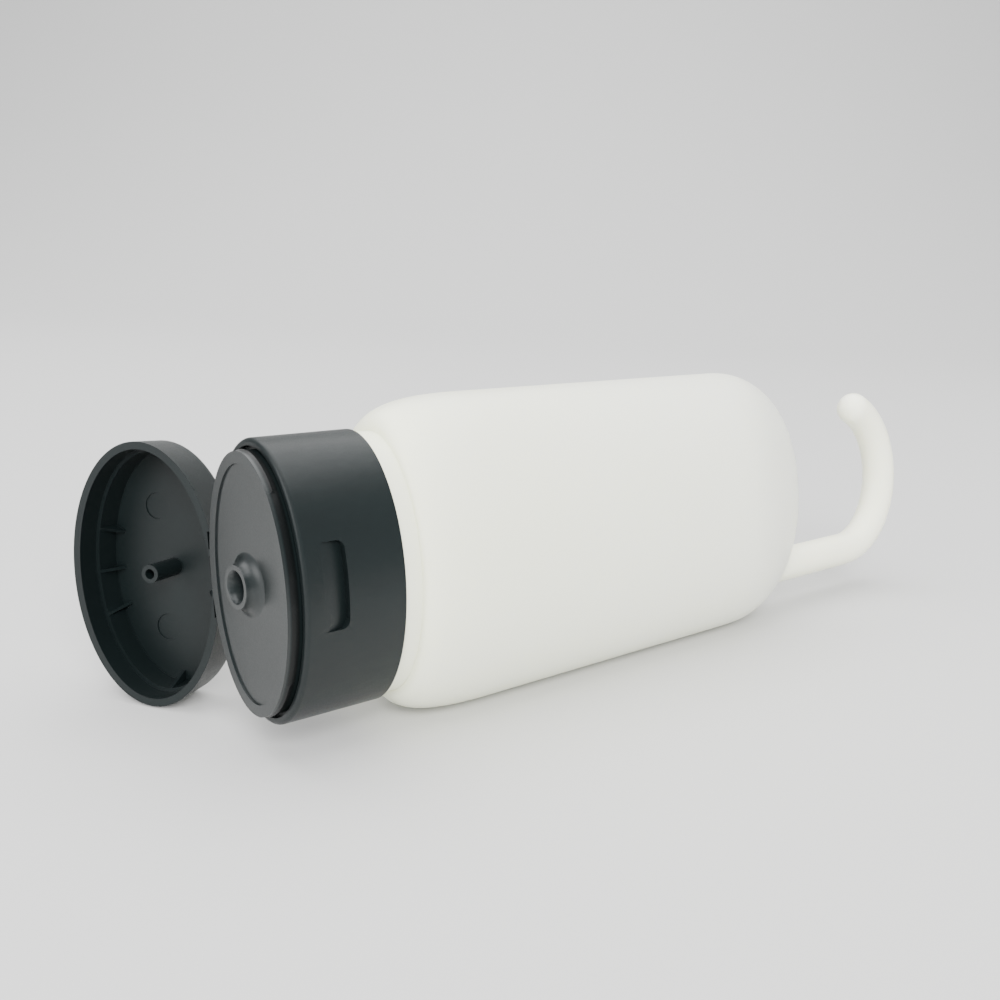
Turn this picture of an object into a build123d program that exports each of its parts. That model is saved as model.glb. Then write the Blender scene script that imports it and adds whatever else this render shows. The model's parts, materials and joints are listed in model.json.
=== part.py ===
"""Hanging squeeze bottle with an oval flip-top dispensing closure.

Frame, in millimetres: X runs along the bottle from the closure to the hook, Z is up and Y points to
the hinge side. The bottle lies on its narrow edge and leans over until the opened lid touches the
surface. The origin is on that surface, under the middle of the whole object.

The pieces are drawn upright first, in the bottle's own frame: X along its axis with the closure's
deck face at 0, Z along the wide way of the oval and Y along the narrow way. They are leaned over last.
"""

from build123d import *
import math
import os

# Closure: the skirted base of the flip-top
cap_width = 52.0            # the oval's long way
cap_depth = 32.0            # the oval's short way
cap_wall = 1.8              # skirt
skirt_length = 20.6         # front lip to back edge
lip_setback = 2.5           # the deck stands this far in front of the skirt's lip
lip_round = 0.9             # rounded outer edge of the lip
deck_inset = 2.1            # deck rim inside the skirt's outline
deck_rim_width = 2.2        # flat land round the recessed field
deck_recess = 0.35
deck_plate = 1.7
groove_depth = 1.3          # groove between the deck's side wall and the lip
groove_width = 0.75
snap_bead = 0.22            # how far the two beads on the deck's side wall stand out
snap_bead_length = 20.0
snap_bead_half_width = 0.6
bite = 0.3                  # features of one moulding reach this far into each other
past = 1.0                  # cuts start and end this far outside the faces they open

# Nozzle in the middle of the deck
nozzle_rise = 2.2           # tip in front of the deck rim
nozzle_tip_diameter = 8.0
nozzle_root_diameter = 15.0
flare_rise = 0.30           # the flare passes this share of its height
flare_spread = 0.22         # at this share of its spread
nozzle_mouth_diameter = 5.6
mouth_chamfer = 0.3
mouth_depth = 2.6           # the mouth tapers down to the orifice over this length
orifice_diameter = 4.0

# Thumb recess on the skirt, opposite the hinge
recess_width = 15.6
recess_front = 3.8          # from the lip to where it starts
recess_length = 8.6         # from the lip to the step at its back
recess_depth = 1.45
recess_corner = 1.5
recess_pad = 1.2            # extra wall behind the recess
recess_pad_setback = 2.0    # the extra wall starts this far behind the lip

# Neck finish and the closure's collar round it
neck_diameter = 24.0
neck_wall = 2.0
neck_bore = neck_diameter - 2 * neck_wall
neck_lip_gap = 0.1          # neck lip to the underside of the deck
collar_wall = 1.5
collar_length = 12.0
bead_height = 0.8           # neck bead that the collar snaps over
bead_length = 2.4
bead_ramp = 1.2             # gentle front slope
bead_back = 0.4             # steep back slope
bead_behind_lip = 7.0
fit_gap = 0.15              # radial gap between neck and collar
plug_length = 3.0           # plug seal that enters the neck's bore
plug_wall = 1.0
plug_gap = 0.05
collar_rib = 1.2            # ribs between the collar and the deck's side wall
collar_rib_length = 9.0

# Blow-moulded body
body_width = 63.2
body_depth = 35.8
body_length = 138.7         # closure's back edge to the end of the dome
body_wall = 1.2
waist_length = 4.8          # narrow band just behind the closure
waist_inset = 0.7           # inside the skirt's outline
waist_under_skirt = 1.5     # the shoulder plate sits this far inside the skirt
shoulder_length = 22.8
shoulder_roundness = 2.6    # superellipse exponent
dome_length_wide = 32.5     # rounding of the end, seen on the broad side
dome_length_deep = 39.0     # the same, seen on the narrow side
dome_power_wide = 2.0
dome_power_deep = 1.5
dome_tip = 0.95             # the dome's last oval, as a share of its quarter turn
shoulder_steps = 6
dome_steps = 8
curve_points = 1500         # points that a curve is drawn with before it is divided evenly

# Hook at the end of the body
hook_diameter = 8.8
hook_radius = 20.5          # bar's centre line to the bottle's axis
hook_centre_from_end = 22.3  # centre of the bend behind the end of the dome
hook_turn = 156.0           # degrees of bend

# Lid, drawn closed
lid_height = 11.6
lid_wall = 1.5
lid_plate = 1.4
lid_draft = 0.5             # smaller all round at the top than at the rim
lid_edge_round = 2.8
lid_gap = 0.2               # lid rim to the skirt's lip when closed
ledge_depth = 5.0           # the wall grows thicker this far below the rim
ledge_step = 0.5
rib_thickness = 0.6
rib_fan = 34.0              # the ribs fan out by this angle on both sides of the short axis
thumb_rib_length = 2.8      # how far each rib reaches in over the plate
hinge_rib_length = 6.5
end_rib_length = 2.6
pin_diameter = 3.6
pin_bore = 2.0
pin_below_rim = 1.6         # pin tip below the lid's rim plane
mark_diameter = 5.4         # round ejector marks on the inside of the plate
mark_depth = 0.3
mark_offset = (2.6, 12.4)   # towards the thumb side, and along the wide way

# Hinge
open_angle = 147.0          # how far the lid is open as it lies
hinge_half_width = 8.6      # flat land that the hinge is moulded on
hinge_land_length = 4.2
film_inner = 5.0            # the two film webs run from here
film_outer = 8.2            # to here, on each side
film_thickness = 0.3
film_relief = 0.8           # both edges are cut back by this much along the webs
film_slack = 0.1            # each cut is this much longer than its web at both ends
hinge_cut_inside = 0.6      # the cuts start this far outside the deck's side wall
film_inset = 0.05           # hinge line outside the land, so that the lands clear as they fold
film_bend_leg = 1.0         # from the webs' virtual corner to where the bend begins
strap_half_width = 3.0
strap_thickness = 0.5
strap_reach = 2.6           # the strap's ends lie this far from the hinge line
strap_inward = 0.9          # and this far inside the land
strap_window_half_width = 3.6

front_lip_x = lip_setback
skirt_back_x = front_lip_x + skirt_length
body_end_x = skirt_back_x + body_length
cap_a = cap_width / 2
cap_b = cap_depth / 2
deck_a = cap_a - deck_inset
deck_b = cap_b - deck_inset
neck_lip_x = deck_plate + neck_lip_gap
shoulder_x = skirt_back_x + waist_length
hinge_x = front_lip_x - lid_gap / 2
hinge_y = cap_b + film_inset
lid_rim_x = front_lip_x - lid_gap
lid_top_x = lid_rim_x - lid_height


def oval(a, b, x0, x1, grow=0.0):
    """Oval bar from x0 to x1. Half axes are a along Z and b along Y, plus grow at the x1 end."""
    near = Plane.YZ.offset(x0) * Ellipse(b, a)
    if not grow:
        return extrude(near, x1 - x0)
    far = Plane.YZ.offset(x1) * Ellipse(b + grow, a + grow)
    return loft([near, far])


def block(x0, x1, y0, y1, z0, z1):
    """Box between two corners."""
    return Pos((x0 + x1) / 2, (y0 + y1) / 2, (z0 + z1) / 2) * Box(x1 - x0, y1 - y0, z1 - z0)


def rod(radius, x0, x1):
    """Round bar on the X axis from x0 to x1."""
    return extrude(Plane.YZ.offset(x0) * Circle(radius), x1 - x0)


def tube(outer, inner, x0, x1):
    """Round tube on the X axis from x0 to x1. Outer and inner are radii."""
    return rod(outer, x0, x1) - rod(inner, x0, x1)


def turned(points):
    """Solid turned about the X axis from points (x, radius)."""
    return revolve(make_face(Polyline(*points, close=True)), Axis.X, 360)


def evenly_spaced(curve, steps):
    """Points of a finely drawn curve at equal distances along it, both ends included."""
    lengths = [0.0]
    for near, far in zip(curve, curve[1:]):
        lengths.append(lengths[-1] + math.dist(near, far))
    picked = []
    for step in range(steps + 1):
        wanted = lengths[-1] * step / steps
        nearest = min(range(len(curve)), key=lambda index: abs(lengths[index] - wanted))
        picked.append(curve[nearest])
    return picked


def shoulder_sections(inset):
    """Half axes (x, wide, deep) from the narrow band out to the full body, along a superellipse.

    The ovals are evenly spaced along the curve, so that the surface through them doesn't ripple."""
    waist = cap_a - waist_inset - inset
    full = body_width / 2 - inset
    flatten = (body_depth / 2 - inset) / full
    curve = []
    for point in range(curve_points + 1):
        turn = math.pi / 2 * point / curve_points
        along = 1 - math.cos(turn) ** (2 / shoulder_roundness)
        out = math.sin(turn) ** (2 / shoulder_roundness)
        curve.append((shoulder_x + inset + (shoulder_length - inset) * along, waist + (full - waist) * out))
    return [(x, wide, flatten * wide) for x, wide in evenly_spaced(curve, shoulder_steps)]


def dome_sections(inset):
    """Half axes (x, wide, deep) over the rounded end, closer together towards its tip."""
    end, wide_run, deep_run = body_end_x - inset, dome_length_wide - inset, dome_length_deep - inset
    sections = []
    for step in range(dome_steps + 1):
        x = end - deep_run * (1 - math.sin(math.pi / 2 * dome_tip * step / dome_steps))
        wide = max(0.0, (x - end + wide_run) / wide_run)
        deep = max(0.0, (x - end + deep_run) / deep_run)
        sections.append((x,
                         (body_width / 2 - inset) * (1 - wide ** dome_power_wide) ** (1 / dome_power_wide),
                         (body_depth / 2 - inset) * (1 - deep ** dome_power_deep) ** (1 / dome_power_deep)))
    return sections


def body_solid(inset):
    """The body without its neck, all its faces moved in by inset."""
    shoulder = shoulder_sections(inset)
    dome = dome_sections(inset)
    solid = oval(body_width / 2 - inset, body_depth / 2 - inset, shoulder[-1][0], dome[0][0])
    for sections in (shoulder, dome):
        solid += loft([Plane.YZ.offset(x) * Ellipse(deep, wide) for x, wide, deep in sections])
    return solid


def neck_bead(x, inside):
    """Snap bead on the neck, starting at x. With inside true, the matching space in the collar."""
    gap = fit_gap if inside else 0.0
    r = neck_diameter / 2 + gap
    top = r + bead_height
    x0, x1 = x - gap, x + bead_length + gap
    return turned([(x0, 0), (x1, 0), (x1, r), (x1 - bead_back, top), (x0 + bead_ramp, top),
                   (x0, r)])


def bottle_body():
    """Hollow body with its shoulder plate, narrow band behind the closure and neck finish."""
    waist_a = cap_a - waist_inset
    waist_b = waist_a * body_depth / body_width
    front_a = cap_a - cap_wall - fit_gap
    front_b = cap_b - cap_wall - fit_gap
    plate_x = skirt_back_x - waist_under_skirt
    outer = body_solid(0)
    outer += oval(waist_a, waist_b, skirt_back_x + fit_gap, shoulder_x + body_wall)
    outer += oval(front_a, front_b, plate_x, skirt_back_x + fit_gap)
    outer += rod(neck_diameter / 2, neck_lip_x, plate_x)
    outer += neck_bead(neck_lip_x + bead_behind_lip, False)
    inner = body_solid(body_wall)
    inner += oval(front_a - body_wall, front_b - body_wall, plate_x + body_wall, shoulder_x + 2 * body_wall)
    inner += rod(neck_bore / 2, neck_lip_x - past, plate_x + body_wall)
    return outer - inner


def hanging_hook():
    """Round bar that leaves the dome near its narrow edge and bends back over the bottle's axis."""
    centre_x = body_end_x + hook_centre_from_end
    r = hook_diameter / 2
    start_x = body_end_x - dome_length_wide / 2
    turn = math.radians(hook_turn - 90)
    stem = Line((start_x, 0, -hook_radius), (centre_x, 0, -hook_radius))
    middle = math.radians(hook_turn / 2 - 90)
    bend = ThreePointArc((centre_x, 0, -hook_radius),
                         (centre_x + hook_radius * math.cos(middle), 0, hook_radius * math.sin(middle)),
                         (centre_x + hook_radius * math.cos(turn), 0, hook_radius * math.sin(turn)))
    bar = sweep(Plane.YZ.offset(start_x) * Pos(0, -hook_radius) * Circle(r), path=Wire([stem, bend]))
    tip = Pos(centre_x + hook_radius * math.cos(turn), 0, hook_radius * math.sin(turn)) * Sphere(r)
    return bar + tip - body_solid(0)


def hinge_land(x0, x1):
    """Flat land on the hinge side, flush with the oval's widest line."""
    inside = cap_b * math.sqrt(1 - (hinge_half_width / cap_a) ** 2)
    return block(x0, x1, inside - cap_wall, cap_b, -hinge_half_width, hinge_half_width)


def hinge_cuts(edge_x, side):
    """Room for the film webs and the strap in an edge at edge_x; side is 1 behind it, -1 in front."""
    deep = edge_x + side * film_relief
    window = edge_x + side * (strap_reach + strap_thickness)
    inside, outside = deck_b + hinge_cut_inside, cap_b + past
    cuts = block(min(edge_x, window), max(edge_x, window), inside, outside,
                 -strap_window_half_width, strap_window_half_width)
    for sign in (-1, 1):
        z0, z1 = sorted((sign * (film_inner - film_slack), sign * (film_outer + film_slack)))
        cuts += block(min(edge_x, deep), max(edge_x, deep), inside, outside, z0, z1)
    return cuts


def nozzle_outside():
    """Flared nozzle standing out of the deck."""
    tip = nozzle_tip_diameter / 2
    root = nozzle_root_diameter / 2
    rise = nozzle_rise + deck_recess
    middle = (deck_recess - flare_rise * rise, tip + flare_spread * (root - tip))
    sunk = deck_recess + bite
    outline = Wire([
        Line((sunk, 0), (-nozzle_rise, 0)),
        Line((-nozzle_rise, 0), (-nozzle_rise, tip)),
        ThreePointArc((-nozzle_rise, tip), middle, (deck_recess, root)),
        Line((deck_recess, root), (sunk, root)),
        Line((sunk, root), (sunk, 0)),
    ])
    return revolve(make_face(outline), Axis.X, 360)


def closure_base():
    """Skirt, lip, deck, nozzle, collar with its snap groove, plug seal and ribs, in one moulding."""
    inner_a = cap_a - cap_wall
    inner_b = cap_b - cap_wall
    top_x = front_lip_x + groove_depth + deck_plate
    shell = oval(cap_a, cap_b, front_lip_x, skirt_back_x)
    shell = fillet(shell.edges().filter_by_position(Axis.X, front_lip_x, front_lip_x), lip_round)
    shell += hinge_land(front_lip_x, front_lip_x + hinge_land_length)
    shell -= oval(inner_a, inner_b, top_x, skirt_back_x + past)
    shell -= oval(deck_a + groove_width, deck_b + groove_width, front_lip_x - past,
                  front_lip_x + groove_depth)
    shell += oval(deck_a, deck_b, 0, top_x)
    shell -= oval(deck_a - deck_plate, deck_b - deck_plate, deck_plate, top_x + past)
    shell -= oval(deck_a - deck_rim_width, deck_b - deck_rim_width, -past, deck_recess)
    shell += nozzle_outside()

    collar = neck_diameter / 2 + fit_gap
    shell += tube(collar + collar_wall, collar, deck_plate - bite, deck_plate + collar_length)
    shell -= neck_bead(neck_lip_x + bead_behind_lip, True)
    plug = neck_bore / 2 - plug_gap
    shell += tube(plug, plug - plug_wall, deck_plate - bite, neck_lip_x + plug_length)

    for sign in (-1, 1):
        z0, z1 = sorted((sign * (collar + collar_wall - bite), sign * (deck_a - deck_plate + bite)))
        shell += block(deck_plate - bite, deck_plate + collar_rib_length, -collar_rib / 2, collar_rib / 2,
                       z0, z1)
    shell += thumb_pad() & oval(cap_a - bite, cap_b - bite, front_lip_x, skirt_back_x)
    shell -= thumb_recess()
    shell -= hinge_cuts(front_lip_x, 1)
    for sign in (-1, 1):
        shell += snap_bead_piece(sign)

    mouth = nozzle_mouth_diameter / 2
    orifice = orifice_diameter / 2
    tip_x = -nozzle_rise
    shell -= turned([(tip_x - past, 0), (tip_x - past, mouth + mouth_chamfer), (tip_x, mouth + mouth_chamfer),
                     (tip_x + mouth_chamfer, mouth), (tip_x + mouth_depth, orifice),
                     (deck_plate + past, orifice), (deck_plate + past, 0)])
    return shell


def thumb_recess():
    """Space scooped out of the skirt: flush at its front, deepest at the step at its back."""
    front = front_lip_x + recess_front
    back = front_lip_x + recess_length
    rough = block(front, back, -cap_b - past, -cap_b / 2, -recess_width / 2, recess_width / 2)
    rough = fillet(rough.edges().filter_by(Axis.Y).group_by(Axis.X)[-1], recess_corner)
    return rough - oval(cap_a, cap_b, front, back, grow=-recess_depth)


def thumb_pad():
    """Thicker wall behind the thumb recess."""
    side = recess_width / 2 + cap_wall
    return block(front_lip_x + recess_pad_setback, front_lip_x + recess_length + cap_wall,
                 -cap_b, -cap_b + cap_wall + recess_pad, -side, side)


def snap_bead_piece(sign):
    """Bead along the deck's side wall at one narrow end, which holds the lid shut."""
    x = lip_setback / 2
    bead = loft([
        Plane.YZ.offset(x - snap_bead_half_width) * Ellipse(deck_b, deck_a),
        Plane.YZ.offset(x) * Ellipse(deck_b + snap_bead, deck_a + snap_bead),
        Plane.YZ.offset(x + snap_bead_half_width) * Ellipse(deck_b, deck_a),
    ], ruled=True)
    z0, z1 = sorted((sign * deck_a / 2, sign * (deck_a + past)))
    return bead & block(x - past, x + past, -snap_bead_length / 2, snap_bead_length / 2, z0, z1)


def lid_closed():
    """Flip lid as it lies when closed: oval cup with its plug pin, ledge, ribs and ejector marks."""
    inner_a = cap_a - lid_wall
    inner_b = cap_b - lid_wall
    plate_x = lid_top_x + lid_plate
    lid = oval(cap_a - lid_draft, cap_b - lid_draft, lid_top_x, lid_rim_x, grow=lid_draft)
    lid = fillet(lid.edges().filter_by_position(Axis.X, lid_top_x, lid_top_x), lid_edge_round)
    lid += hinge_land(lid_rim_x - hinge_land_length, lid_rim_x)
    lid -= oval(inner_a, inner_b, lid_rim_x - ledge_depth, lid_rim_x + past)
    lid -= oval(inner_a - ledge_step - lid_draft, inner_b - ledge_step - lid_draft, plate_x, lid_rim_x,
                grow=lid_draft)
    for angle in (-rib_fan, 0, rib_fan):
        lid += lid_rib(angle, thumb_rib_length)
    for angle in (180 - rib_fan, 180 + rib_fan):
        lid += lid_rib(angle, hinge_rib_length)
    for angle in (-90, 90):
        lid += lid_rib(angle, end_rib_length)
        lid -= Pos(plate_x, -mark_offset[0], math.sin(math.radians(angle)) * mark_offset[1]) * Rot(
            0, 90, 0) * Cylinder(mark_diameter / 2, 2 * mark_depth)
    lid += tube(pin_diameter / 2, pin_bore / 2, plate_x - bite, lid_rim_x - pin_below_rim)
    return lid - hinge_cuts(lid_rim_x, -1)


def lid_rib(angle, length):
    """Three-cornered rib from the lid's ledge down to its plate, pointing at the pin.

    The angle is measured from the thumb side; length is how far it reaches in over the plate."""
    a = cap_a - lid_wall - ledge_step
    b = cap_b - lid_wall - ledge_step
    turn = math.radians(angle)
    wall = 1 / math.hypot(math.cos(turn) / b, math.sin(turn) / a)
    plate_x = lid_top_x + lid_plate
    ledge_x = lid_rim_x - ledge_depth
    profile = make_face(Polyline((plate_x - bite, -wall - bite), (ledge_x, -wall - bite),
                                 (ledge_x, -wall + bite), (plate_x, -wall + length),
                                 (plate_x - bite, -wall + length), close=True))
    rib = Pos(0, 0, -rib_thickness / 2) * extrude(profile, rib_thickness)
    return rib.rotate(Axis.X, -angle)


def opened(shape, angle=open_angle):
    """Swing a closed lid piece open about the hinge line."""
    return shape.rotate(Axis((hinge_x, hinge_y, 0), (0, 0, 1)), -angle)


def at_hinge(distance, inward, on_lid):
    """Point at a distance from the hinge line along the skirt or the open lid, and inward of its land."""
    wedge = math.radians(180 - open_angle)
    angle = wedge if on_lid else 0.0
    y = inward if on_lid else -inward
    return (hinge_x + distance * math.cos(angle) - y * math.sin(angle),
            hinge_y + distance * math.sin(angle) + y * math.cos(angle))


def film_hinges():
    """Two thin webs that join skirt and lid along the hinge line, bent as the lid lies open."""
    reach = film_relief + lid_gap / 2
    middle = film_inset + film_thickness / 2
    half_wedge = math.radians(180 - open_angle) / 2
    bend_radius = film_bend_leg * math.tan(half_wedge)
    bend_start = film_bend_leg - middle / math.tan(half_wedge)
    along = film_bend_leg / math.cos(half_wedge) - middle / math.sin(half_wedge)
    centre = (hinge_x + along * math.cos(half_wedge), hinge_y + along * math.sin(half_wedge))

    def bend(inward):
        radius = bend_radius + inward - middle
        apex = (centre[0] - radius * math.cos(half_wedge), centre[1] - radius * math.sin(half_wedge))
        return at_hinge(bend_start, inward, False), apex, at_hinge(bend_start, inward, True)

    outer, inner = film_inset, film_inset + film_thickness
    outline = Wire([
        Line(at_hinge(reach, outer, False), bend(outer)[0]),
        ThreePointArc(*bend(outer)),
        Line(bend(outer)[2], at_hinge(reach, outer, True)),
        Line(at_hinge(reach, outer, True), at_hinge(reach, inner, True)),
        Line(at_hinge(reach, inner, True), bend(inner)[2]),
        ThreePointArc(*reversed(bend(inner))),
        Line(bend(inner)[0], at_hinge(reach, inner, False)),
        Line(at_hinge(reach, inner, False), at_hinge(reach, outer, False)),
    ])
    web = extrude(make_face(outline), film_outer - film_inner)
    return Compound([Pos(0, 0, film_inner) * web, Pos(0, 0, -film_outer) * web])


def spring_strap():
    """Middle strap of the hinge, drawn tight across the fold when the lid is open."""
    near, far = strap_reach, strap_reach + strap_thickness
    top, bottom = strap_inward - strap_thickness, strap_inward + strap_thickness
    strap = make_face(Polyline(at_hinge(near, strap_inward, False), at_hinge(far, strap_inward, False),
                               at_hinge(far, strap_inward, True), at_hinge(near, strap_inward, True),
                               close=True))
    for on_lid in (False, True):
        strap += make_face(Polyline(at_hinge(near, top, on_lid), at_hinge(far, top, on_lid),
                                    at_hinge(far, bottom, on_lid), at_hinge(near, bottom, on_lid),
                                    close=True))
    return Pos(0, 0, -strap_half_width) * extrude(strap, 2 * strap_half_width)


def drop(a, b, along, down_y, down_z):
    """How far an oval reaches downwards from its centre; along is its short way's direction in Y."""
    return math.hypot(a * down_z, b * along * down_y)


def lean_angle():
    """Lean of the bottle about its length at which the body and the open lid both touch the surface."""
    swing = math.radians(open_angle)
    low, high = 0.0, 30.0
    for _ in range(50):
        lean = math.radians((low + high) / 2)
        down_y, down_z = math.sin(lean), math.cos(lean)
        body = drop(body_width / 2, body_depth / 2, 1.0, down_y, down_z)
        depths = []
        for x in (lid_rim_x, lid_top_x + lid_edge_round):
            thinner = lid_draft * (lid_rim_x - x) / lid_height
            centre_y = hinge_y - (x - hinge_x) * math.sin(swing) - hinge_y * math.cos(swing)
            reach = drop(cap_a - thinner, cap_b - thinner, math.cos(swing), down_y, down_z)
            depths.append(centre_y * down_y + reach)
        if max(depths) < body:
            low = math.degrees(lean)
        else:
            high = math.degrees(lean)
    return (low + high) / 2


nodes = {
    "bottle_body": bottle_body(),
    "hanging_hook": hanging_hook(),
    "closure_base": closure_base(),
    "lid": opened(lid_closed()),
    "film_hinges": film_hinges(),
    "spring_strap": spring_strap(),
}

lean = lean_angle()
leaned = {name: shape.rotate(Axis.X, -lean) for name, shape in nodes.items()}
boxes = [shape.bounding_box() for shape in leaned.values()]
shift = Vector(-(min(b.min.X for b in boxes) + max(b.max.X for b in boxes)) / 2,
               -(min(b.min.Y for b in boxes) + max(b.max.Y for b in boxes)) / 2,
               -min(b.min.Z for b in boxes))

os.makedirs("parts", exist_ok=True)
for name, shape in leaned.items():
    placed = Pos(*shift) * shape
    export_step(placed, f"parts/{name}.step")

print(f"lean {lean:.3f} degrees, shift {shift}")
tilt = math.radians(lean)
hinge_point = (hinge_x + shift.X, hinge_y * math.cos(tilt) + shift.Y, -hinge_y * math.sin(tilt) + shift.Z)
print("hinge line through", [round(v, 4) for v in hinge_point], "along", [0, math.sin(tilt), math.cos(tilt)])
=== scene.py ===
"""Hanging squeeze bottle with an oval flip-top closure, modelled around the fixed CAD frame.

The pieces are drawn upright in the bottle's own frame first, as the CAD is: X runs along the bottle
from the closure's deck face, Z is the wide way of the oval and Y the narrow way, with the hinge on +Y.
They are leaned over into the frame last, about the line that the lid's joint gives. Sizes are metres.
"""

import json
import math

import bmesh
import bpy
from bpy.props import FloatProperty, FloatVectorProperty, IntProperty, PointerProperty
from mathutils import Matrix, Vector

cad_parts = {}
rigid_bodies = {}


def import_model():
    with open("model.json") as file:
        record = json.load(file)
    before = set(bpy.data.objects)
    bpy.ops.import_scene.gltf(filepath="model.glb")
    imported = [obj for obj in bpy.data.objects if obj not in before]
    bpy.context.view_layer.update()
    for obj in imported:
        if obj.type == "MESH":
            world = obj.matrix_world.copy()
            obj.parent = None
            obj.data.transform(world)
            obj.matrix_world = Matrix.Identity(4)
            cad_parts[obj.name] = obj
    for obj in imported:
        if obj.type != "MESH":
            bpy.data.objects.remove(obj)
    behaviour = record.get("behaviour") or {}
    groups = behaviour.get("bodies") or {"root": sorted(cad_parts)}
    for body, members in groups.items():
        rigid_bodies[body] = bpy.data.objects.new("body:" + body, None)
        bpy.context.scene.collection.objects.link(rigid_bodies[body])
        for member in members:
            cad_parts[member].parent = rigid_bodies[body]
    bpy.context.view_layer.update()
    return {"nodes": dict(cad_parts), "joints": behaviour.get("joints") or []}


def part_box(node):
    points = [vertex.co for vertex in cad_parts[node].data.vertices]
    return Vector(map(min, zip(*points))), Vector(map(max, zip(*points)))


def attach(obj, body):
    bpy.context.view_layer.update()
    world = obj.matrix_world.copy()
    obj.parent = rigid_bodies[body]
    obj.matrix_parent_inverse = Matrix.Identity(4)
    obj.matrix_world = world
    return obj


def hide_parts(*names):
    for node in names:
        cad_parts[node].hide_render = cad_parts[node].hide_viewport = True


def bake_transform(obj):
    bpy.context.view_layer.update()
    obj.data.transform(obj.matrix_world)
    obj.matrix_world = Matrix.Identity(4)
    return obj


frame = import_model()

bl_info = {
    "name": "Flip-top squeeze bottle",
    "version": (1, 0, 0),
    "blender": (4, 5, 0),
    "location": "View3D > Sidebar > Bottle",
    "description": "Builds a translucent hanging squeeze bottle with a charcoal flip-top closure",
    "category": "Add Mesh",
}

MM = 0.001
HINGE = next(joint for joint in frame["joints"] if joint["name"] == "lid_hinge")
BOTTLE, LID = HINGE["parent"], HINGE["child"]

HINGE_IN_BOTTLE = Vector((2.4 * MM, 16.05 * MM, 0.0))   # the hinge line, in the bottle's own frame
REST_OPENING = math.radians(147.0)                      # how far the lid is open as the bottle lies
SAME_PLACE = 0.01 * MM                                  # points nearer than this lie together

# Neck bead, and the shoulder plate that hides under the skirt
BEAD_BEHIND_LIP = 7.0 * MM
BEAD_HEIGHT = 0.8 * MM
BEAD_RAMP = 1.2 * MM            # end of its gentle front slope
BEAD_CREST = 2.0 * MM           # end of its flat top
BEAD_LENGTH = 2.4 * MM
PLATE_SETBACK = 1.65 * MM       # in front of the narrow band
PLATE_INSET = 1.25 * MM         # inside the narrow band
PLATE_HALF_DEPTH = 14.05 * MM
PLATE_CORNER = 0.3 * MM
PLATE_END_GAP = 0.05 * MM       # its side wall stops this far before the narrow band

SHOULDER_STEPS = 22
STRAIGHT_STEPS = 14
DOME_STEPS = 40
DOME_DEEP_POWER = 1.5           # shape of the rounded end on the narrow side; the broad side is an ellipse
MOULD_LINE_SETBACK = 0.5 * MM   # the mould line starts this far behind the narrow band's front

# Hook: rings at its root, from the rounded end's surface outwards
ROOT_RISES = (-0.7 * MM, -0.05 * MM, 0.35 * MM, 1.0 * MM, 2.2 * MM)
ROOT_FLARES = (1.0, 1.0, 0.55, 0.18, 0.0)
STEM_SHARES = (0.0, 0.3, 0.6, 1.0)
STEM_CLEARANCE = 0.5 * MM       # the stem's first ring behind the rounded end's tip
BEND_STEPS = 44
TIP_STEPS = 8

# Reach of the hinge's bending pieces from the hinge line
WEB_REACH = 0.9 * MM
STRAP_REACH = 3.1 * MM

DECK_DEPTH = 2.9 * MM           # from the nozzle's tip to just behind the deck's face

CAMERA_PLACE = Vector((-0.18790, -0.18580, 0.09523))
CAMERA_RIGHT = Vector((0.76062, -0.64727, 0.04992))
CAMERA_UP = Vector((0.11688, 0.21219, 0.97022))


# ------------------------------------------------------------------ sizes and colours

class BodySizes(bpy.types.PropertyGroup):
    """Sizes of the blow-moulded body and its neck."""
    width: FloatProperty(name="Width", description="Wide way of the oval body", default=63.2 * MM,
                         unit="LENGTH")
    depth: FloatProperty(name="Depth", description="Narrow way of the oval body", default=35.8 * MM,
                         unit="LENGTH")
    end: FloatProperty(name="End", description="Tip of the rounded end, from the deck face",
                       default=161.8 * MM, unit="LENGTH")
    wall: FloatProperty(name="Wall", description="Wall thickness", default=1.2 * MM, unit="LENGTH")
    waist: FloatProperty(name="Waist", description="Half width of the narrow band behind the closure",
                         default=25.3 * MM, unit="LENGTH")
    waist_start: FloatProperty(name="Waist start", description="Where the narrow band starts",
                               default=23.25 * MM, unit="LENGTH")
    shoulder_start: FloatProperty(name="Shoulder start", description="Where the shoulder starts",
                                  default=27.9 * MM, unit="LENGTH")
    shoulder_length: FloatProperty(name="Shoulder length", description="Length of the shoulder",
                                   default=22.8 * MM, unit="LENGTH")
    shoulder_roundness: FloatProperty(name="Shoulder roundness", description="Superellipse exponent",
                                      default=2.6)
    dome_wide: FloatProperty(name="Dome, wide way", description="Length of the rounded end on the broad side",
                             default=32.5 * MM, unit="LENGTH")
    dome_deep: FloatProperty(name="Dome, narrow way",
                             description="Length of the rounded end on the narrow side",
                             default=39.0 * MM, unit="LENGTH")
    neck_radius: FloatProperty(name="Neck radius", description="Outside radius of the neck",
                               default=12.0 * MM, unit="LENGTH")
    neck_wall: FloatProperty(name="Neck wall", description="Wall of the neck", default=2.0 * MM,
                             unit="LENGTH")
    neck_lip: FloatProperty(name="Neck lip", description="Where the neck starts", default=1.8 * MM,
                            unit="LENGTH")
    seam_height: FloatProperty(name="Mould line", description="How far the mould's parting line stands out",
                               default=0.10 * MM, unit="LENGTH")
    around: IntProperty(name="Vertices around", description="Vertices in each oval", default=256, min=32)


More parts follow.
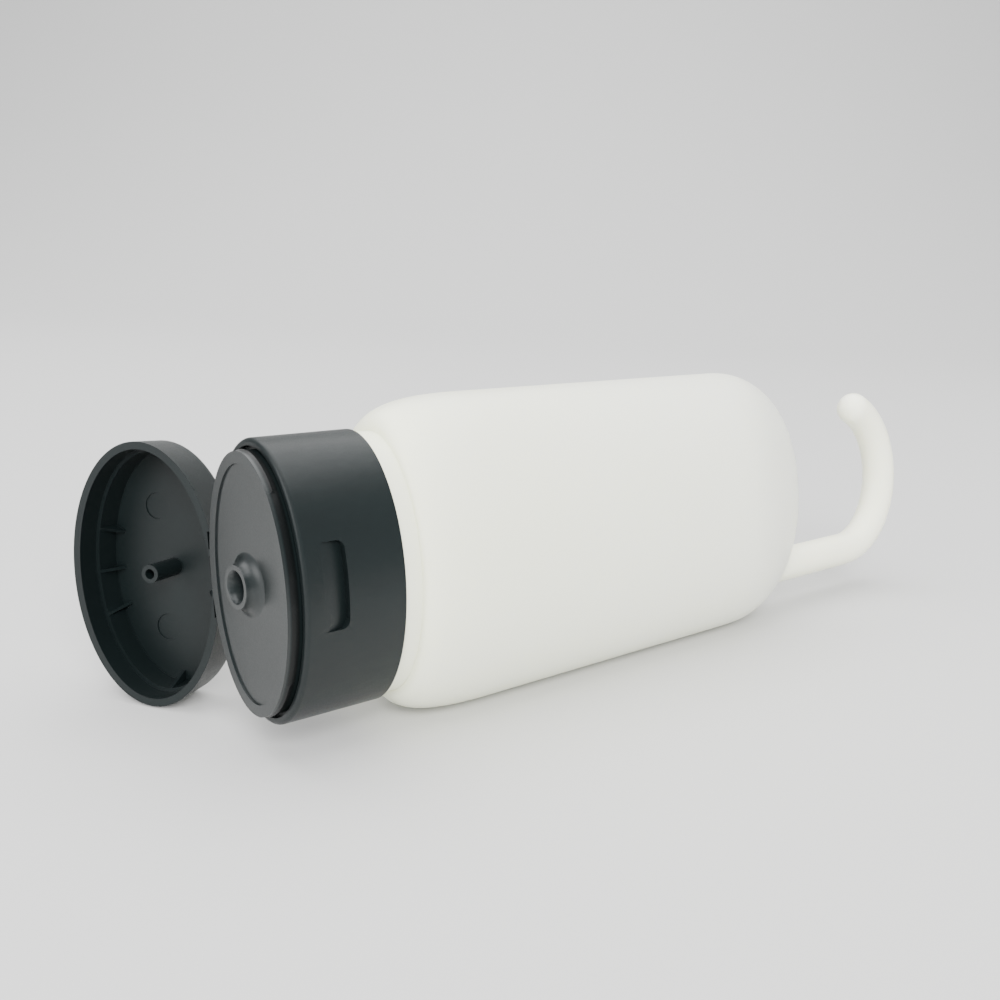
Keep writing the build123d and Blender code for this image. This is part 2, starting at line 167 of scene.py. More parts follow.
class HookSizes(bpy.types.PropertyGroup):
    """Sizes of the bar that the bottle hangs by."""
    radius: FloatProperty(name="Bar radius", description="Half the bar's thickness", default=4.4 * MM,
                          unit="LENGTH")
    bend: FloatProperty(name="Bend radius", description="Bar's centre line to the bottle's axis",
                        default=20.5 * MM, unit="LENGTH")
    centre: FloatProperty(name="Bend centre", description="Centre of the bend, from the deck face",
                          default=184.1 * MM, unit="LENGTH")
    turn: FloatProperty(name="Turn", description="How far the bar bends", default=math.radians(156.0),
                        subtype="ANGLE")
    flare: FloatProperty(name="Root flare", description="How much thicker the bar's root is",
                         default=0.9 * MM, unit="LENGTH")
    around: IntProperty(name="Vertices around", description="Vertices round the bar", default=64, min=16)


class MouldingSizes(bpy.types.PropertyGroup):
    """Finish of the injection-moulded closure and its hinge."""
    edge: FloatProperty(name="Edge rounding", description="Rounding of the moulded edges",
                        default=0.12 * MM, unit="LENGTH")
    edge_angle: FloatProperty(name="Edge angle", description="Edges sharper than this are rounded",
                              default=math.radians(35.0), subtype="ANGLE")
    merge: FloatProperty(name="Merge", description="Corners nearer than this are one corner",
                         default=0.002 * MM, unit="LENGTH")


class BottleColours(bpy.types.PropertyGroup):
    """Colours of the object's plastics."""
    milky: FloatVectorProperty(name="Milky plastic", description="Natural polyethylene of body and hook",
                               subtype="COLOR", size=3, default=(0.93, 0.945, 0.77), min=0, max=1)
    charcoal: FloatVectorProperty(name="Charcoal plastic", description="Polypropylene of the closure",
                                  subtype="COLOR", size=3, default=(0.0040, 0.0064, 0.0066), min=0, max=1)


class StageSettings(bpy.types.PropertyGroup):
    """Floor, lights and camera."""
    floor: FloatVectorProperty(name="Floor", description="Colour of floor and backdrop", subtype="COLOR",
                               size=3, default=(0.50, 0.50, 0.495), min=0, max=1)
    overhead: FloatProperty(name="Overhead light", description="Power of the overhead light, in watts",
                            default=32.0)
    side: FloatProperty(name="Side light", description="Power of the light at the left, in watts",
                        default=7.0)
    front: FloatProperty(name="Front light", description="Power of the soft light by the camera, in watts",
                         default=60.0)
    backdrop: FloatProperty(name="Backdrop light", description="Power of the light on the backdrop, in watts",
                            default=24.0)
    ambient: FloatProperty(name="Ambient", description="Strength of the light from all sides", default=0.55)
    turn: FloatProperty(name="Backdrop turn", description="Backdrop's turn about Z, in degrees", default=41.0)
    lens: FloatProperty(name="Lens", description="Camera's focal length, in millimetres", default=40.4)


# ------------------------------------------------------------------ placing and modelling by hand

def lean_over():
    """Matrix from the bottle's own frame to the object's frame, from the lid's joint."""
    axis = Vector(HINGE["axis"])
    turn = Matrix.Rotation(-math.atan2(axis.y, axis.z), 4, "X")
    return Matrix.Translation(Vector(HINGE["pos_m"]) - turn @ HINGE_IN_BOTTLE) @ turn


def deselect():
    """Object mode, with nothing selected."""
    if bpy.context.mode != "OBJECT":
        bpy.ops.object.mode_set(mode="OBJECT")
    bpy.ops.object.select_all(action="DESELECT")


def only(obj):
    """Make obj the one selected and active object."""
    deselect()
    obj.hide_set(False)
    obj.select_set(True)
    bpy.context.view_layer.objects.active = obj


def first_ring(name, vertices, x, half_wide, half_deep, z=0.0):
    """Open oval in edit mode, all selected: the start of a piece."""
    deselect()
    bpy.ops.mesh.primitive_circle_add(vertices=vertices, radius=1.0, location=(x, 0.0, z),
                                      rotation=(0.0, math.pi / 2, 0.0))
    obj = bpy.context.object
    obj.name = name
    bpy.ops.object.transform_apply(location=True, rotation=True, scale=True)
    bpy.ops.object.mode_set(mode="EDIT")
    bpy.ops.mesh.select_mode(type="VERT")
    bpy.ops.mesh.select_all(action="SELECT")
    bpy.ops.transform.resize(value=(1.0, half_deep, half_wide), center_override=(x, 0.0, z))
    return obj


def next_ring(last, new, z=0.0):
    """Extrude the selected oval to the next one. Both are (x, half_wide, half_deep)."""
    bpy.ops.mesh.extrude_region_move(TRANSFORM_OT_translate={"value": (new[0] - last[0], 0.0, 0.0)})
    bpy.ops.transform.resize(value=(1.0, new[2] / last[2], new[1] / last[1]),
                             center_override=(new[0], 0.0, z))


def ring_stack(name, vertices, rings):
    """Skin through ovals (x, half_wide, half_deep). It ends in edit mode with the last one selected."""
    obj = first_ring(name, vertices, *rings[0])
    for last, new in zip(rings, rings[1:]):
        next_ring(last, new)
    return obj


def select_where(test):
    """In edit mode, select the vertices whose place passes the test."""
    mesh = bmesh.from_edit_mesh(bpy.context.edit_object.data)
    for vertex in mesh.verts:
        vertex.select = bool(test(vertex.co))
    mesh.select_flush_mode()
    bmesh.update_edit_mesh(bpy.context.edit_object.data)


def finish_piece(obj, material, body, slot, *replaced):
    """Lean a piece over into the frame, give it its material and let it ride and replace."""
    only(obj)
    obj.matrix_world = lean_over()
    bpy.ops.object.transform_apply(location=True, rotation=True, scale=True)
    dress(obj, material, slot, *replaced)
    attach(obj, body)


def dress(obj, material, slot, *replaced):
    """One material, and hide the CAD nodes that the piece stands for. The slot is not used."""
    obj.data.materials.clear()
    obj.data.materials.append(material)
    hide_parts(*replaced)


def copy_of_node(node, name):
    """Merged copy of a CAD node's mesh, in its place."""
    source = frame["nodes"][node]
    obj = bpy.data.objects.new(name, source.data.copy())
    bpy.context.scene.collection.objects.link(obj)
    only(obj)
    bpy.ops.object.mode_set(mode="EDIT")
    bpy.ops.mesh.select_mode(type="VERT")
    bpy.ops.mesh.select_all(action="SELECT")
    bpy.ops.mesh.remove_doubles(threshold=bpy.context.scene.bottle_moulding.merge)
    bpy.ops.object.mode_set(mode="OBJECT")
    return obj


def apply_modifier(obj, kind, **settings):
    """Add a modifier with these settings and apply it."""
    only(obj)
    modifier = obj.modifiers.new(kind.lower(), kind)
    for name, value in settings.items():
        setattr(modifier, name, value)
    bpy.ops.object.modifier_apply(modifier=modifier.name)


# ------------------------------------------------------------------ materials

def noise(tree, vector, scale, detail, roughness=0.5):
    """Noise texture on a vector."""
    node = tree.nodes.new("ShaderNodeTexNoise")
    node.inputs["Scale"].default_value = scale
    node.inputs["Detail"].default_value = detail
    node.inputs["Roughness"].default_value = roughness
    tree.links.new(vector, node.inputs["Vector"])
    return node.outputs["Fac"]


def ranged(tree, value, low, high, to_low, to_high):
    """Map a value from one range to another, held at its ends."""
    node = tree.nodes.new("ShaderNodeMapRange")
    for name, number in (("From Min", low), ("From Max", high), ("To Min", to_low), ("To Max", to_high)):
        node.inputs[name].default_value = number
    tree.links.new(value, node.inputs["Value"])
    return node.outputs["Result"]


def moulded_surface_group():
    """Effect shared by the plastics: fine satin grain, slow colour drift, and scuffs."""
    name = "moulded_surface"
    if name in bpy.data.node_groups:
        return bpy.data.node_groups[name]
    group = bpy.data.node_groups.new(name, "ShaderNodeTree")
    group.interface.new_socket(name="Vector", in_out="INPUT", socket_type="NodeSocketVector")
    for label, default in (("Grain Size", 4000.0), ("Drift Size", 30.0), ("Scuffs", 0.5)):
        socket = group.interface.new_socket(name=label, in_out="INPUT", socket_type="NodeSocketFloat")
        socket.default_value = default
    for label in ("Grain", "Drift", "Scuff Mask"):
        group.interface.new_socket(name=label, in_out="OUTPUT", socket_type="NodeSocketFloat")
    inside = group.nodes.new("NodeGroupInput")
    outside = group.nodes.new("NodeGroupOutput")
    vector = inside.outputs["Vector"]
    grain = group.nodes.new("ShaderNodeTexNoise")
    grain.inputs["Detail"].default_value = 3.0
    group.links.new(vector, grain.inputs["Vector"])
    group.links.new(inside.outputs["Grain Size"], grain.inputs["Scale"])
    drift = group.nodes.new("ShaderNodeTexNoise")
    drift.inputs["Detail"].default_value = 2.0
    group.links.new(vector, drift.inputs["Vector"])
    group.links.new(inside.outputs["Drift Size"], drift.inputs["Scale"])
    stretch = group.nodes.new("ShaderNodeMapping")
    stretch.inputs["Scale"].default_value = (70.0, 520.0, 520.0)
    group.links.new(vector, stretch.inputs["Vector"])
    streaks = ranged(group, noise(group, stretch.outputs["Vector"], 1.0, 4.0, 0.7), 0.60, 0.74, 0.0, 1.0)
    patches = ranged(group, noise(group, vector, 45.0, 2.0), 0.45, 0.65, 0.0, 1.0)
    both = group.nodes.new("ShaderNodeMath")
    both.operation = "MULTIPLY"
    group.links.new(streaks, both.inputs[0])
    group.links.new(patches, both.inputs[1])
    amount = group.nodes.new("ShaderNodeMath")
    amount.operation = "MULTIPLY"
    group.links.new(both.outputs[0], amount.inputs[0])
    group.links.new(inside.outputs["Scuffs"], amount.inputs[1])
    group.links.new(grain.outputs["Fac"], outside.inputs["Grain"])
    group.links.new(drift.outputs["Fac"], outside.inputs["Drift"])
    group.links.new(amount.outputs[0], outside.inputs["Scuff Mask"])
    return group


def plastic(name, colour, tint, roughness, rough_spread, grain_size, grain_height, drift_size, scuffs,
            scuff_colour):
    """Moulded plastic with grain, drift and scuffs; colour drifts towards tint."""
    material = bpy.data.materials.new(name)
    material.use_nodes = True
    tree = material.node_tree
    shader = tree.nodes["Principled BSDF"]
    place = tree.nodes.new("ShaderNodeTexCoord")
    surface = tree.nodes.new("ShaderNodeGroup")
    surface.node_tree = moulded_surface_group()
    surface.inputs["Grain Size"].default_value = grain_size
    surface.inputs["Drift Size"].default_value = drift_size
    surface.inputs["Scuffs"].default_value = scuffs
    tree.links.new(place.outputs["Object"], surface.inputs["Vector"])
    drifted = mix_colours(tree, ranged(tree, surface.outputs["Drift"], 0.35, 0.65, 0.0, 1.0), colour, tint)
    scuffed = mix_colours(tree, surface.outputs["Scuff Mask"], drifted, scuff_colour)
    tree.links.new(scuffed, shader.inputs["Base Color"])
    tree.links.new(ranged(tree, surface.outputs["Grain"], 0.3, 0.7, roughness - rough_spread,
                          roughness + rough_spread), shader.inputs["Roughness"])
    bump = tree.nodes.new("ShaderNodeBump")
    bump.inputs["Strength"].default_value = 1.0
    bump.inputs["Distance"].default_value = grain_height
    tree.links.new(surface.outputs["Grain"], bump.inputs["Height"])
    tree.links.new(bump.outputs["Normal"], shader.inputs["Normal"])
    return material, shader


def mix_colours(tree, factor, first, second):
    """Mix two colours, each a tuple or a socket."""
    node = tree.nodes.new("ShaderNodeMix")
    node.data_type = "RGBA"
    tree.links.new(factor, node.inputs["Factor"])
    for socket, colour in ((node.inputs["A"], first), (node.inputs["B"], second)):
        if isinstance(colour, bpy.types.NodeSocket):
            tree.links.new(colour, socket)
        else:
            socket.default_value = (*colour, 1.0)
    return node.outputs["Result"]


def along_bottle(tree):
    """Distance along X, on Object coordinates."""
    place = tree.nodes.new("ShaderNodeTexCoord")
    split = tree.nodes.new("ShaderNodeSeparateXYZ")
    tree.links.new(place.outputs["Object"], split.inputs["Vector"])
    return split.outputs["X"]


def shade(colour, factor, warm=0.0):
    """A colour made lighter or darker, and warmer by a share."""
    return (min(1.0, colour[0] * factor * (1 + warm)), min(1.0, colour[1] * factor),
            min(1.0, colour[2] * factor * (1 - warm)))


def milky_polyethylene(name="milky_polyethylene"):
    """Natural low-density polyethylene: off-white, soft, and light passes into it."""
    if name in bpy.data.materials:
        return bpy.data.materials[name]
    colour = tuple(bpy.context.scene.bottle_colours.milky)
    material, shader = plastic(name, colour, tint=shade(colour, 0.975, 0.01), roughness=0.34,
                               rough_spread=0.04, grain_size=900.0, grain_height=0.02 * MM,
                               drift_size=22.0, scuffs=0.25, scuff_colour=shade(colour, 1.05))
    tree = material.node_tree
    # Partly tint and partly painted highlight: the colour runs from a yellower tint at the closure's end to
    # plain milky white at the rounded end, and the whiter end stands in for the broad highlight there.
    low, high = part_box("bottle_body")
    tint_and_painted_highlight = ranged(tree, along_bottle(tree), low.x, high.x, 0.65, 0.0)
    base = shader.inputs["Base Color"].links[0].from_socket
    yellower_tint = (colour[0] * 0.97, colour[1] * 0.985, colour[2] * 0.80)
    tree.links.new(mix_colours(tree, tint_and_painted_highlight, base, yellower_tint), shader.inputs["Base Color"])
    shader.inputs["IOR"].default_value = 1.5
    shader.inputs["Subsurface Weight"].default_value = 0.55
    shader.inputs["Subsurface Radius"].default_value = (1.0, 0.95, 0.75)
    shader.inputs["Subsurface Scale"].default_value = 5.0 * MM
    return material


def charcoal_polypropylene(name, deck_sheen=0.0):
    """Charcoal polypropylene with a fine satin grain and faint handling marks."""
    if name in bpy.data.materials:
        return bpy.data.materials[name]
    colour = tuple(bpy.context.scene.bottle_colours.charcoal)
    material, shader = plastic(name, colour, tint=shade(colour, 1.18), roughness=0.40, rough_spread=0.06,
                               grain_size=3800.0, grain_height=0.012 * MM, drift_size=60.0, scuffs=0.35,
                               scuff_colour=shade(colour, 1.9))
    shader.inputs["IOR"].default_value = 1.49
    shader.inputs["Specular IOR Level"].default_value = 0.34
    shader.inputs["Coat Roughness"].default_value = 0.38
    if deck_sheen:
        # With the deck's coat comes painted shade on the wall before the skirt's lip.
        deck_coat_and_painted_groove_shade(material.node_tree, shader, deck_sheen, shade(colour, 0.25))
    return material


def deck_coat_and_painted_groove_shade(tree, shader, sheen, painted_shade):
    """Smoother face on the deck, and painted shade: a darker base colour on the wall between it and the
    skirt's lip.
    """
    along = along_bottle(tree)
    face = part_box("closure_base")[0].x + DECK_DEPTH
    tree.links.new(ranged(tree, along, face, face - 0.3 * MM, 0.0, sheen), shader.inputs["Coat Weight"])
    # Painted shade: a darker base colour on the deck's side wall and the groove before the skirt's lip.
    painted_groove_shade = tree.nodes.new("ShaderNodeMath")
    painted_groove_shade.operation = "MULTIPLY"
    tree.links.new(ranged(tree, along, face, face + 0.2 * MM, 0.0, 1.0), painted_groove_shade.inputs[0])
    tree.links.new(ranged(tree, along, face + 1.5 * MM, face + 1.8 * MM, 1.0, 0.0), painted_groove_shade.inputs[1])
    base = shader.inputs["Base Color"].links[0].from_socket
    tree.links.new(mix_colours(tree, painted_groove_shade.outputs[0], base, painted_shade), shader.inputs["Base Color"])


def flexed_polypropylene(name="flexed_polypropylene"):
    """The closure's plastic where it flexes in the hinge: paler and smoother."""
    if name in bpy.data.materials:
        return bpy.data.materials[name]
    colour = tuple(bpy.context.scene.bottle_colours.charcoal)
    material, shader = plastic(name, shade(colour, 1.25), tint=shade(colour, 1.7), roughness=0.33,
                               rough_spread=0.05, grain_size=3000.0, grain_height=0.01 * MM,
                               drift_size=600.0, scuffs=0.5, scuff_colour=shade(colour, 2.6))
    shader.inputs["IOR"].default_value = 1.49
    return material


# ------------------------------------------------------------------ pieces

def superellipse(share, exponent):
    """Point (along, out) from 0 to 1 on a quarter superellipse, at a share of its quarter turn."""
    turn = math.pi / 2 * share
    return 1 - math.cos(turn) ** (2 / exponent), math.sin(turn) ** (2 / exponent)


def dome_oval(x, end, runs, halves):
    """Half width and half depth of the rounded end at x. Both pairs are (wide, deep)."""
    wide, deep = (max(0.0, (x - end + run) / run) for run in runs)
    return (halves[0] * math.sqrt(1 - wide ** 2),
            halves[1] * (1 - deep ** DOME_DEEP_POWER) ** (1 / DOME_DEEP_POWER))


def body_rings(inset):
    """Ovals of the body from the narrow band to just before the tip, moved in by inset."""
    size = bpy.context.scene.bottle_body
    full, flat = size.width / 2 - inset, (size.depth / 2 - inset) / (size.width / 2 - inset)
    waist = size.waist - inset
    rings = [(size.waist_start + inset, waist, flat * waist)]
    for step in range(SHOULDER_STEPS + 1):
        along, out = superellipse(step / SHOULDER_STEPS, size.shoulder_roundness)
        x = size.shoulder_start + inset + (size.shoulder_length - inset) * along
        wide = waist + (full - waist) * out
        rings.append((x, wide, flat * wide))
    start, end = rings[-1][0], size.end - inset
    runs = (size.dome_wide - inset, size.dome_deep - inset)
    dome_start = end - runs[1]
    for step in range(1, STRAIGHT_STEPS):
        rings.append((start + (dome_start - start) * step / STRAIGHT_STEPS, full, flat * full))
    for step in range(DOME_STEPS):
        x = end - runs[1] * (1 - math.sin(math.pi / 2 * step / DOME_STEPS))
        rings.append((x, *dome_oval(x, end, runs, (full, flat * full))))
    return rings


def close_tip(x):
    """Close the selected last oval with a point at x on the axis."""
    bpy.ops.mesh.extrude_region_move(TRANSFORM_OT_translate={"value": (0.0, 0.0, 0.0)})
    bpy.ops.mesh.merge(type="CENTER")
    tip = bmesh.from_edit_mesh(bpy.context.edit_object.data)
    point = next(vertex for vertex in tip.verts if vertex.select)
    bpy.ops.transform.translate(value=(x - point.co.x, 0.0, 0.0))


def neck_rings(inset):
    """Ovals and circles from the neck's lip out to the shoulder plate under the skirt."""
    size = bpy.context.scene.bottle_body
    lip, wall, radius = size.neck_lip, size.wall, size.neck_radius - inset
    plate_x = size.waist_start - PLATE_SETBACK
    plate = size.waist - PLATE_INSET
    if inset:
        return [(lip, radius, radius), (plate_x + wall, radius, radius),
                (plate_x + wall, plate - wall, PLATE_HALF_DEPTH - wall)]
    bead, top = lip + BEAD_BEHIND_LIP, radius + BEAD_HEIGHT
    return [(lip, radius, radius), (bead, radius, radius), (bead + BEAD_RAMP, top, top),
            (bead + BEAD_CREST, top, top), (bead + BEAD_LENGTH, radius, radius), (plate_x, radius, radius),
            (plate_x, plate - PLATE_CORNER, PLATE_HALF_DEPTH - PLATE_CORNER),
            (plate_x + PLATE_CORNER, plate, PLATE_HALF_DEPTH),
            (size.waist_start - PLATE_END_GAP, plate, PLATE_HALF_DEPTH)]


def raise_mould_line():
    """Let the mould's parting line stand out along both narrow sides and over the end."""
    size = bpy.context.scene.bottle_body
    start = size.waist_start + MOULD_LINE_SETBACK
    select_where(lambda p: abs(p.y) < SAME_PLACE and p.x > start)
    bpy.ops.transform.shrink_fatten(value=size.seam_height)


class BOTTLE_OT_body(bpy.types.Operator):
    """Blow-moulded body with its neck, shoulder, mould line and rounded end"""
    bl_idname = "bottle.body"
    bl_label = "Body"

    def execute(self, context):
        size = context.scene.bottle_body
        obj = ring_stack("body_shell", size.around, neck_rings(0.0) + body_rings(0.0))
        close_tip(size.end)
        raise_mould_line()
        bpy.ops.object.mode_set(mode="OBJECT")
        inner = ring_stack("body_inner", size.around, neck_rings(size.neck_wall) + body_rings(size.wall)[1:])
        close_tip(size.end - size.wall)
        bpy.ops.mesh.select_all(action="SELECT")
        bpy.ops.mesh.normals_make_consistent(inside=True)
        bpy.ops.object.mode_set(mode="OBJECT")
        only(obj)
        bpy.ops.object.mode_set(mode="EDIT")
        bpy.ops.mesh.select_all(action="SELECT")
        bpy.ops.mesh.normals_make_consistent(inside=False)
        bpy.ops.object.mode_set(mode="OBJECT")
        inner.select_set(True)
        bpy.ops.object.join()
        bpy.ops.object.mode_set(mode="EDIT")
        lip = size.neck_lip
        select_where(lambda p: abs(p.x - lip) < SAME_PLACE)
        bpy.ops.mesh.bridge_edge_loops()
        bpy.ops.object.mode_set(mode="OBJECT")
        bpy.ops.object.shade_smooth_by_angle(angle=math.radians(40.0))
        finish_piece(obj, milky_polyethylene(), BOTTLE, "translucent_body", "bottle_body")
        return {"FINISHED"}


def dome_surface_x(y, z, body):
    """Where the rounded end's surface lies at a depth and height, found by halving."""
    near, far = body.end - body.dome_deep, body.end
    runs, halves = (body.dome_wide, body.dome_deep), (body.width / 2, body.depth / 2)
    for _ in range(30):
        x = (near + far) / 2
        wide, deep = dome_oval(x, body.end, runs, halves)
        if wide > 0 and deep > 0 and (z / wide) ** 2 + (y / deep) ** 2 < 1:
            near = x
        else:
            far = x
    return near


class BOTTLE_OT_hook(bpy.types.Operator):
    """Round bar that leaves the rounded end and bends back over the axis"""
    bl_idname = "bottle.hook"
    bl_label = "Hanging hook"

    def execute(self, context):
        size, body = context.scene.bottle_hook, context.scene.bottle_body
        r, z = size.radius, -size.bend
        start = body.end - body.dome_wide / 2
        roots = [start + index * MM for index in range(len(ROOT_RISES))]
        stem = [size.centre * share + (body.end + STEM_CLEARANCE) * (1 - share) for share in STEM_SHARES]
        obj = first_ring("hook_bar", size.around, roots[0], r, r, z)
        last = (roots[0], r, r)
        for x in roots[1:] + stem:
            next_ring(last, (x, r, r), z)
            last = (x, r, r)
        bpy.ops.mesh.spin(steps=BEND_STEPS, angle=size.turn, center=(size.centre, 0.0, 0.0),
                          axis=(0.0, 1.0, 0.0))
        self.round_tip(size)
        self.fit_root(body, size, roots)
        bpy.ops.mesh.select_all(action="SELECT")
        bpy.ops.mesh.normals_make_consistent(inside=False)
        bpy.ops.object.mode_set(mode="OBJECT")
        bpy.ops.object.shade_smooth()
        finish_piece(obj, milky_polyethylene(), BOTTLE, "translucent_hook", "hanging_hook")
        return {"FINISHED"}

    def round_tip(self, size):
        """Close the bar's free end with a half ball."""
        r, turn = size.radius, size.turn - math.pi / 2
        tip = Vector((size.centre + size.bend * math.cos(turn), 0.0, size.bend * math.sin(turn)))
        ahead = Vector((-math.sin(turn), 0.0, math.cos(turn)))
        for step in range(1, TIP_STEPS):
            low, high = math.pi / 2 * (step - 1) / TIP_STEPS, math.pi / 2 * step / TIP_STEPS
            move = ahead * r * (math.sin(high) - math.sin(low))
            bpy.ops.mesh.extrude_region_move(TRANSFORM_OT_translate={"value": move})
            shrink = math.cos(high) / math.cos(low)
            bpy.ops.transform.resize(value=(shrink, shrink, shrink),
                                     center_override=tip + ahead * r * math.sin(high))
        bpy.ops.mesh.extrude_region_move(TRANSFORM_OT_translate={"value": (0.0, 0.0, 0.0)})
        bpy.ops.mesh.merge(type="CENTER")

    def fit_root(self, body, size, roots):
        """Lay the first rings along the rounded end's surface and flare them into it."""
        mesh = bmesh.from_edit_mesh(bpy.context.edit_object.data)
        for vertex in mesh.verts:
            for index, root in enumerate(roots):
                if abs(vertex.co.x - root) < SAME_PLACE and vertex.co.z < 0:
                    out = Vector((0.0, vertex.co.y, vertex.co.z + size.bend))
                    out *= 1 + size.flare * ROOT_FLARES[index] / size.radius
                    y, z = out.y, out.z - size.bend
                    vertex.co = (dome_surface_x(y, z, body) + ROOT_RISES[index], y, z)
                    break
        bmesh.update_edit_mesh(bpy.context.edit_object.data)


def moulded_copy(node, name, material, body, slot):
    """Merged copy of a moulding, with its edges rounded and its faces shaded smooth."""
    size = bpy.context.scene.bottle_moulding
    obj = copy_of_node(node, name)
    bpy.ops.object.mode_set(mode="EDIT")
    bpy.ops.mesh.select_all(action="SELECT")
    bpy.ops.mesh.dissolve_limited(angle_limit=math.radians(0.5))
    bpy.ops.object.mode_set(mode="OBJECT")
    apply_modifier(obj, "BEVEL", width=size.edge, segments=2, limit_method="ANGLE",
                   angle_limit=size.edge_angle, use_clamp_overlap=True, miter_outer="MITER_SHARP")
    only(obj)
    bpy.ops.object.shade_smooth_by_angle(angle=math.radians(50.0))
    apply_modifier(obj, "WEIGHTED_NORMAL", keep_sharp=True)
    dress(obj, material, slot, node)
    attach(obj, body)


class BOTTLE_OT_closure(bpy.types.Operator):
    """Skirted base of the closure, with its deck, nozzle and thumb recess"""
    bl_idname = "bottle.closure"
    bl_label = "Closure"

    def execute(self, context):
        material = charcoal_polypropylene("charcoal_closure", deck_sheen=0.5)
        moulded_copy("closure_base", "closure_moulding", material, BOTTLE, "black_closure")
        return {"FINISHED"}


class BOTTLE_OT_lid(bpy.types.Operator):
    """Flip lid with its plug pin, ledge and ribs"""
    bl_idname = "bottle.lid"
    bl_label = "Lid"

    def execute(self, context):
        moulded_copy("lid", "lid_moulding", charcoal_polypropylene("charcoal_lid"), LID, "black_lid")
        return {"FINISHED"}


class BOTTLE_OT_hinge(bpy.types.Operator):
    """Two thin webs and the spring strap of the living hinge"""
    bl_idname = "bottle.hinge"
    bl_label = "Living hinge"

    def execute(self, context):
        for node, name, reach in (("film_hinges", "hinge_webs", WEB_REACH),
                                  ("spring_strap", "hinge_strap", STRAP_REACH)):
            obj = copy_of_node(node, name)
            bpy.ops.object.mode_set(mode="EDIT")
            bpy.ops.mesh.select_all(action="SELECT")
            bpy.ops.mesh.tris_convert_to_quads()
            bpy.ops.mesh.subdivide(number_cuts=3)
            bpy.ops.object.mode_set(mode="OBJECT")
            bpy.ops.object.shade_smooth_by_angle(angle=math.radians(40.0))
            dress(obj, flexed_polypropylene(), "black_hinge", node)
            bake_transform(obj)
        return {"FINISHED"}

    def ends(self, reach):
        """Points at one distance from the hinge line, on the closure and on the open lid."""
        wedge = math.pi - REST_OPENING
        near = HINGE_IN_BOTTLE + Vector((reach, 0.0, 0.0))
        far = HINGE_IN_BOTTLE + Vector((reach * math.cos(wedge), reach * math.sin(wedge), 0.0))
        place = lean_over()
        return place @ near, place @ far


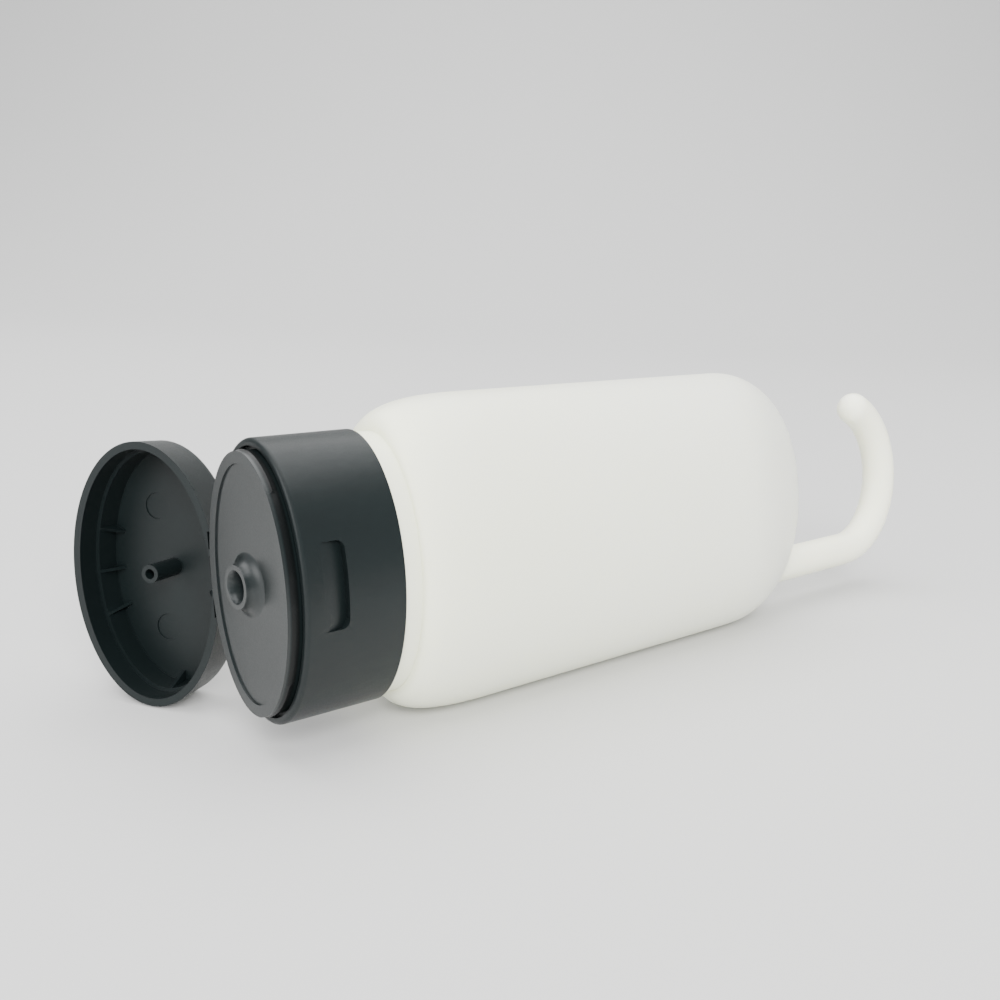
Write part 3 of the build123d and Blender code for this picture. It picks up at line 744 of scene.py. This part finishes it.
class BOTTLE_OT_stage(bpy.types.Operator):
    """Seamless pale floor, soft studio lights and the camera"""
    bl_idname = "bottle.stage"
    bl_label = "Stage"

    def execute(self, context):
        settings = context.scene.bottle_stage
        self.backdrop(settings)
        self.lights(settings)
        self.camera(settings)
        return {"FINISHED"}

    def backdrop(self, settings):
        """Floor that sweeps up into a wall far behind the object."""
        deselect()
        bpy.ops.mesh.primitive_plane_add(size=4.0, location=(0.0, 0.0, 0.0))
        floor = bpy.context.object
        floor.name = "floor"
        bpy.ops.object.mode_set(mode="EDIT")
        bpy.ops.mesh.select_mode(type="VERT")
        select_where(lambda p: p.y > 1.0)
        bpy.ops.mesh.extrude_region_move(TRANSFORM_OT_translate={"value": (0.0, 0.0, 4.0)})
        select_where(lambda p: p.y > 1.0 and p.z < 0.1)
        bpy.ops.mesh.bevel(offset=1.3, offset_type="OFFSET", segments=24, affect="EDGES")
        bpy.ops.mesh.select_all(action="SELECT")
        bpy.ops.transform.rotate(value=math.radians(settings.turn), orient_axis="Z",
                                 center_override=(0.0, 0.0, 0.0))
        bpy.ops.object.mode_set(mode="OBJECT")
        bpy.ops.object.shade_smooth()
        material = bpy.data.materials.new("pale_paper")
        material.use_nodes = True
        tree = material.node_tree
        shader = tree.nodes["Principled BSDF"]
        place = tree.nodes.new("ShaderNodeTexCoord")
        mottle = ranged(tree, noise(tree, place.outputs["Object"], 3.0, 2.0), 0.3, 0.7, 0.0, 1.0)
        colour = tuple(settings.floor)
        tree.links.new(mix_colours(tree, mottle, colour, shade(colour, 1.01)), shader.inputs["Base Color"])
        shader.inputs["Roughness"].default_value = 0.8
        floor.data.materials.append(material)

    def lights(self, settings):
        """Overhead and side lights that show in the gloss, soft front and backdrop lights, and the world."""
        for name, place, aim, size, power in (
                ("overhead", (0.05, 0.20, 1.15), (0.0, 0.0, 0.0), 1.6, settings.overhead),
                ("left_side", (-1.05, 0.05, 0.50), (0.0, 0.0, 0.0), 0.7, settings.side),
                ("front", (-0.70, -1.10, 0.80), (0.0, 0.0, 0.0), 0.9, settings.front),
                ("backdrop_light", (0.50, 0.55, 1.60), (1.3, 1.5, 0.6), 1.2, settings.backdrop)):
            data = bpy.data.lights.new(name, "AREA")
            data.shape = "SQUARE"
            data.size = size
            data.energy = power
            light = bpy.data.objects.new(name, data)
            light.location = place
            light.rotation_euler = (Vector(aim) - Vector(place)).to_track_quat("-Z", "Y").to_euler()
            light.visible_glossy = name in ("overhead", "left_side")
            bpy.context.scene.collection.objects.link(light)
        world = bpy.data.worlds.new("studio")
        world.use_nodes = True
        world.node_tree.nodes["Background"].inputs["Color"].default_value = (0.95, 0.97, 1.0, 1.0)
        world.node_tree.nodes["Background"].inputs["Strength"].default_value = settings.ambient
        bpy.context.scene.world = world

    def camera(self, settings):
        """Camera that looks down a little on the closure's end of the bottle."""
        data = bpy.data.cameras.new("camera")
        data.lens = settings.lens
        data.sensor_width = 36.0
        data.clip_start = 0.01
        camera = bpy.data.objects.new("camera", data)
        back = CAMERA_RIGHT.cross(CAMERA_UP)
        turn = Matrix((CAMERA_RIGHT, CAMERA_UP, back)).transposed().to_4x4()
        camera.matrix_world = Matrix.Translation(CAMERA_PLACE) @ turn
        bpy.context.scene.collection.objects.link(camera)
        bpy.context.scene.camera = camera


class BOTTLE_PT_panel(bpy.types.Panel):
    """Lists the bottle's pieces, sizes and colours"""
    bl_idname = "BOTTLE_PT_panel"
    bl_label = "Squeeze bottle"
    bl_space_type = "VIEW_3D"
    bl_region_type = "UI"
    bl_category = "Bottle"

    def draw(self, context):
        column = self.layout.column()
        for operator in OPERATORS:
            column.operator(operator.bl_idname)
        for name in GROUPS:
            group = getattr(context.scene, name)
            box = self.layout.box()
            for prop in group.bl_rna.properties:
                if prop.identifier not in ("rna_type", "name"):
                    box.prop(group, prop.identifier)


OPERATORS = (BOTTLE_OT_body, BOTTLE_OT_hook, BOTTLE_OT_closure, BOTTLE_OT_lid, BOTTLE_OT_hinge,
             BOTTLE_OT_stage)
GROUPS = {"bottle_body": BodySizes, "bottle_hook": HookSizes, "bottle_moulding": MouldingSizes,
          "bottle_colours": BottleColours, "bottle_stage": StageSettings}


def register():
    for kind in (*GROUPS.values(), *OPERATORS, BOTTLE_PT_panel):
        bpy.utils.register_class(kind)
    for name, kind in GROUPS.items():
        setattr(bpy.types.Scene, name, PointerProperty(type=kind))


def unregister():
    for name in GROUPS:
        delattr(bpy.types.Scene, name)
    for kind in reversed((*GROUPS.values(), *OPERATORS, BOTTLE_PT_panel)):
        bpy.utils.unregister_class(kind)


def main():
    register()
    bpy.ops.bottle.stage()
    bpy.ops.bottle.body()
    bpy.ops.bottle.hook()
    bpy.ops.bottle.closure()
    bpy.ops.bottle.lid()
    bpy.ops.bottle.hinge()


if __name__ == "__main__":
    main()
